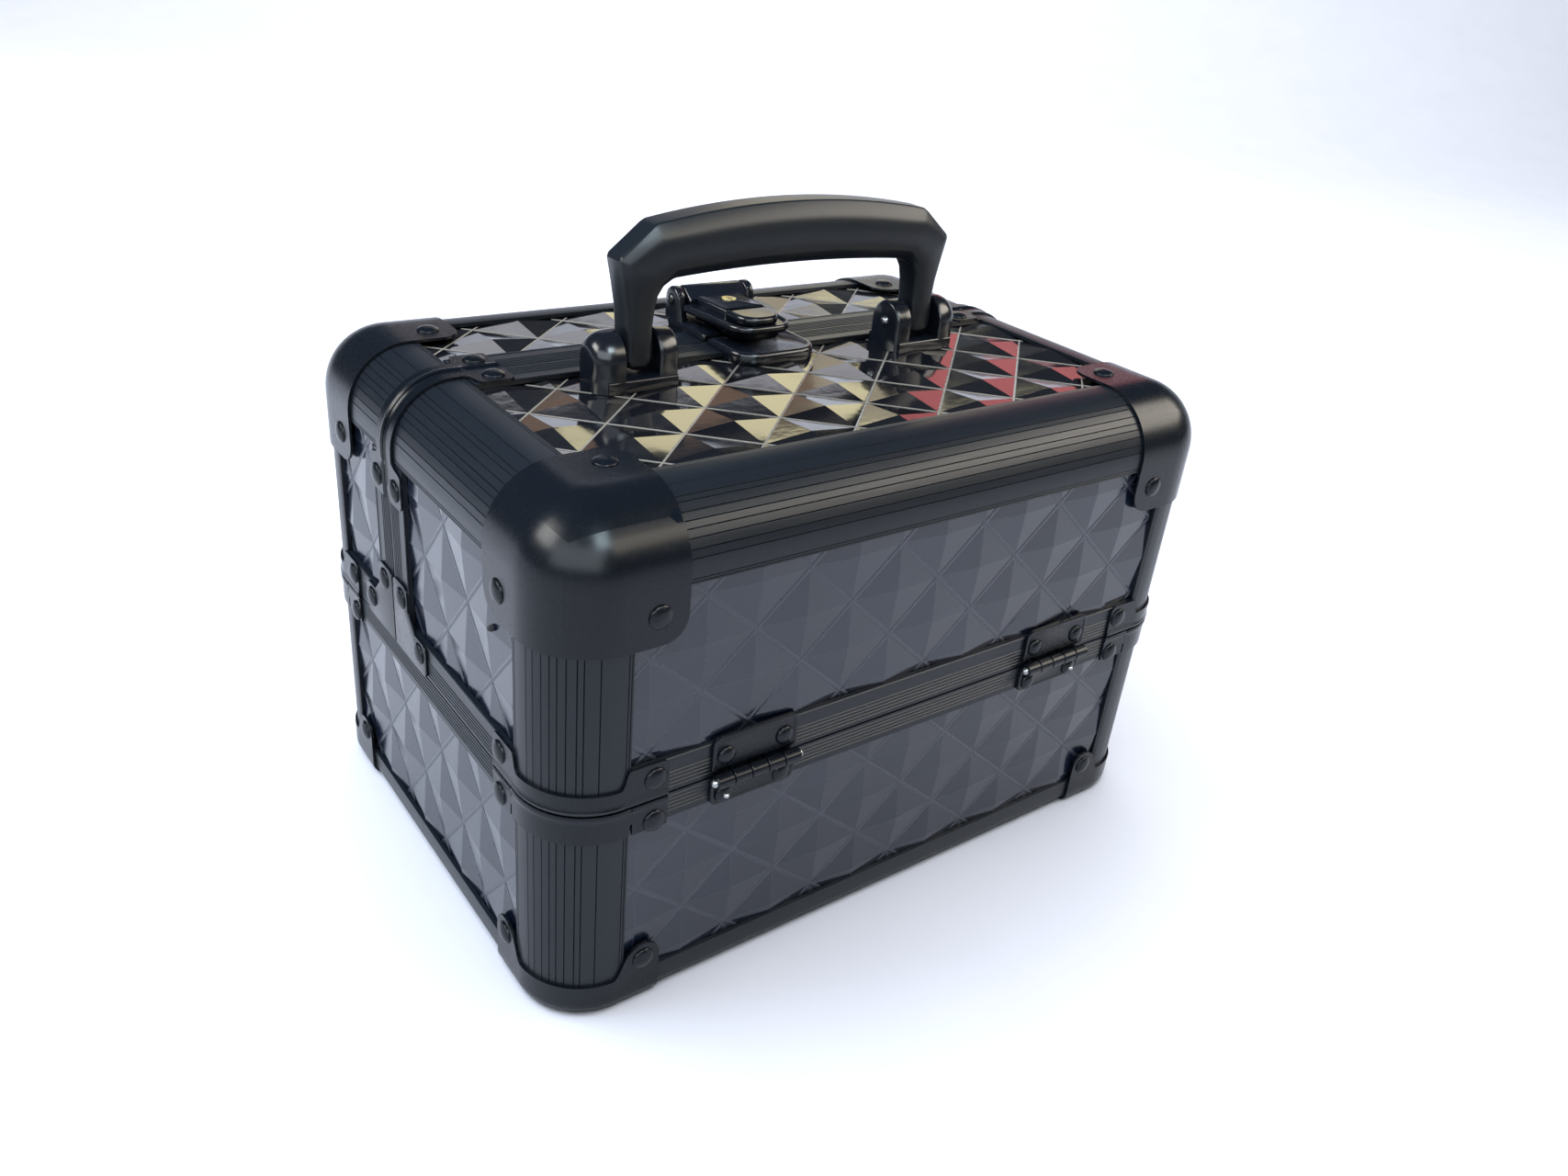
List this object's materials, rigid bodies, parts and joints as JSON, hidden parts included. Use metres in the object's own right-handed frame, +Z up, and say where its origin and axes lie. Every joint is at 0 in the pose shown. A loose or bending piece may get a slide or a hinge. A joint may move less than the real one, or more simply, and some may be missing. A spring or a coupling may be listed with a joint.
{
  "type": "makeup train case",
  "caption": "Hard makeup train case with a deep base, two lids that open outward, a folding top handle, a lockable hasp latch and a tray that rises with the front lid.",
  "frame": {"origin": "on the floor under the centre of the case, at the underside of the base corner caps", "axes": "+X along the long side to the right, +Y from the front to the back, +Z up"},
  "size_m": [0.3056, 0.2232, 0.2545],
  "materials": {
    "anodised_frame": "satin black anodised extrusion with fine lengthwise grooves",
    "pressed_steel": "smooth satin black enamel on pressed steel",
    "panel_plastic": "high gloss black sheet embossed with diamond facets",
    "handle_plastic": "satin black moulded plastic",
    "latch_metal": "gloss black enamel on die-cast metal",
    "key_brass": "plain brass lock cylinder",
    "tray_plastic": "matt black tray with a flocked inside"
  },
  "bodies": {
    "base": {"base_floor": "panel_plastic", "base_front_panel": "panel_plastic", "base_back_panel": "panel_plastic", "base_left_panel": "panel_plastic", "base_right_panel": "panel_plastic", "base_bottom_frame": "anodised_frame", "base_rim_frame": "anodised_frame", "base_post_front_left": "anodised_frame", "base_post_front_right": "anodised_frame", "base_post_back_right": "anodised_frame", "base_post_back_left": "anodised_frame", "base_corner_cap_front_left": "pressed_steel", "base_corner_cap_front_right": "pressed_steel", "base_corner_cap_back_right": "pressed_steel", "base_corner_cap_back_left": "pressed_steel", "base_hinge_leaf_front_left": "pressed_steel", "base_hinge_leaf_front_right": "pressed_steel", "base_hinge_leaf_back_right": "pressed_steel", "base_hinge_leaf_back_left": "pressed_steel"},
    "front_lid": {"front_lid_rim": "anodised_frame", "front_lid_top_panel": "panel_plastic", "front_lid_face_panel": "panel_plastic", "front_lid_left_panel": "panel_plastic", "front_lid_right_panel": "panel_plastic", "front_lid_top_edge": "anodised_frame", "front_lid_end_edge_left": "anodised_frame", "front_lid_end_edge_right": "anodised_frame", "front_lid_post_left": "anodised_frame", "front_lid_post_right": "anodised_frame", "front_lid_ball_corner_left": "pressed_steel", "front_lid_ball_corner_right": "pressed_steel", "front_lid_hinge_leaf_left": "pressed_steel", "front_lid_hinge_leaf_right": "pressed_steel", "handle_bracket_left": "latch_metal", "handle_bracket_right": "latch_metal", "latch_keeper": "latch_metal"},
    "handle": {"carry_handle": "handle_plastic"},
    "rear_lid": {"rear_lid_rim": "anodised_frame", "rear_lid_top_panel": "panel_plastic", "rear_lid_face_panel": "panel_plastic", "rear_lid_left_panel": "panel_plastic", "rear_lid_right_panel": "panel_plastic", "rear_lid_top_edge": "anodised_frame", "rear_lid_end_edge_left": "anodised_frame", "rear_lid_end_edge_right": "anodised_frame", "rear_lid_post_left": "anodised_frame", "rear_lid_post_right": "anodised_frame", "rear_lid_ball_corner_left": "pressed_steel", "rear_lid_ball_corner_right": "pressed_steel", "rear_lid_hinge_leaf_right": "pressed_steel", "rear_lid_hinge_leaf_left": "pressed_steel", "latch_base": "latch_metal"},
    "hasp": {"latch_hasp": "latch_metal"},
    "release_tab": {"latch_release_tab": "latch_metal"},
    "key_cylinder": {"latch_key_cylinder": "key_brass"},
    "tray": {"front_tray": "tray_plastic"},
    "arm_front_left": {"tray_arm_front_left": "pressed_steel"},
    "arm_front_right": {"tray_arm_front_right": "pressed_steel"},
    "arm_rear_left": {"tray_arm_rear_left": "pressed_steel"},
    "arm_rear_right": {"tray_arm_rear_right": "pressed_steel"}
  },
  "joints": [
    {"name": "front_lid_hinge", "type": "hinge", "parent": "base", "child": "front_lid", "pos_m": [0, -0.1086, 0.089], "axis": [1, 0, 0], "range_deg": [0, 100]},
    {"name": "rear_lid_hinge", "type": "hinge", "parent": "base", "child": "rear_lid", "pos_m": [0, 0.1086, 0.089], "axis": [-1, 0, 0], "range_deg": [0, 100]},
    {"name": "handle_pivot", "type": "hinge", "parent": "front_lid", "child": "handle", "pos_m": [0, -0.003, 0.2029], "axis": [1, 0, 0], "range_deg": [-45, 92]},
    {"name": "latch_pivot", "type": "hinge", "parent": "rear_lid", "child": "hasp", "pos_m": [0, 0.0493, 0.2037], "axis": [-1, 0, 0], "range_deg": [0, 110]},
    {"name": "release_tab_pivot", "type": "hinge", "parent": "hasp", "child": "release_tab", "pos_m": [0, 0.0223, 0.2031], "axis": [-1, 0, 0], "range_deg": [0, 12], "stiffness_Nm_per_rad": 0.05},
    {"name": "key_turn", "type": "hinge", "parent": "hasp", "child": "key_cylinder", "pos_m": [0, 0.0357, 0.2], "axis": [0, 0, 1], "range_deg": [0, 90]},
    {"name": "arm_front_left_pivot", "type": "hinge", "parent": "base", "child": "arm_front_left", "pos_m": [-0.14, -0.078, 0.073], "axis": [1, 0, 0], "range_deg": [0, 100]},
    {"name": "arm_front_right_pivot", "type": "hinge", "parent": "base", "child": "arm_front_right", "pos_m": [0.14, -0.078, 0.073], "axis": [1, 0, 0], "range_deg": [0, 100]},
    {"name": "arm_rear_left_pivot", "type": "hinge", "parent": "base", "child": "arm_rear_left", "pos_m": [-0.14, -0.05, 0.073], "axis": [1, 0, 0], "range_deg": [0, 100]},
    {"name": "arm_rear_right_pivot", "type": "hinge", "parent": "base", "child": "arm_rear_right", "pos_m": [0.14, -0.05, 0.073], "axis": [1, 0, 0], "range_deg": [0, 100]},
    {"name": "tray_level_pivot", "type": "hinge", "parent": "arm_front_left", "child": "tray", "pos_m": [-0.135, -0.01694, 0.08377], "axis": [1, 0, 0], "range_deg": [-100, 0]}
  ],
  "couplings": [
    {"joint": "arm_front_left_pivot", "follows": "front_lid_hinge", "ratio": 1},
    {"joint": "arm_front_right_pivot", "follows": "front_lid_hinge", "ratio": 1},
    {"joint": "arm_rear_left_pivot", "follows": "front_lid_hinge", "ratio": 1},
    {"joint": "arm_rear_right_pivot", "follows": "front_lid_hinge", "ratio": 1},
    {"joint": "tray_level_pivot", "follows": "front_lid_hinge", "ratio": -1}
  ]
}
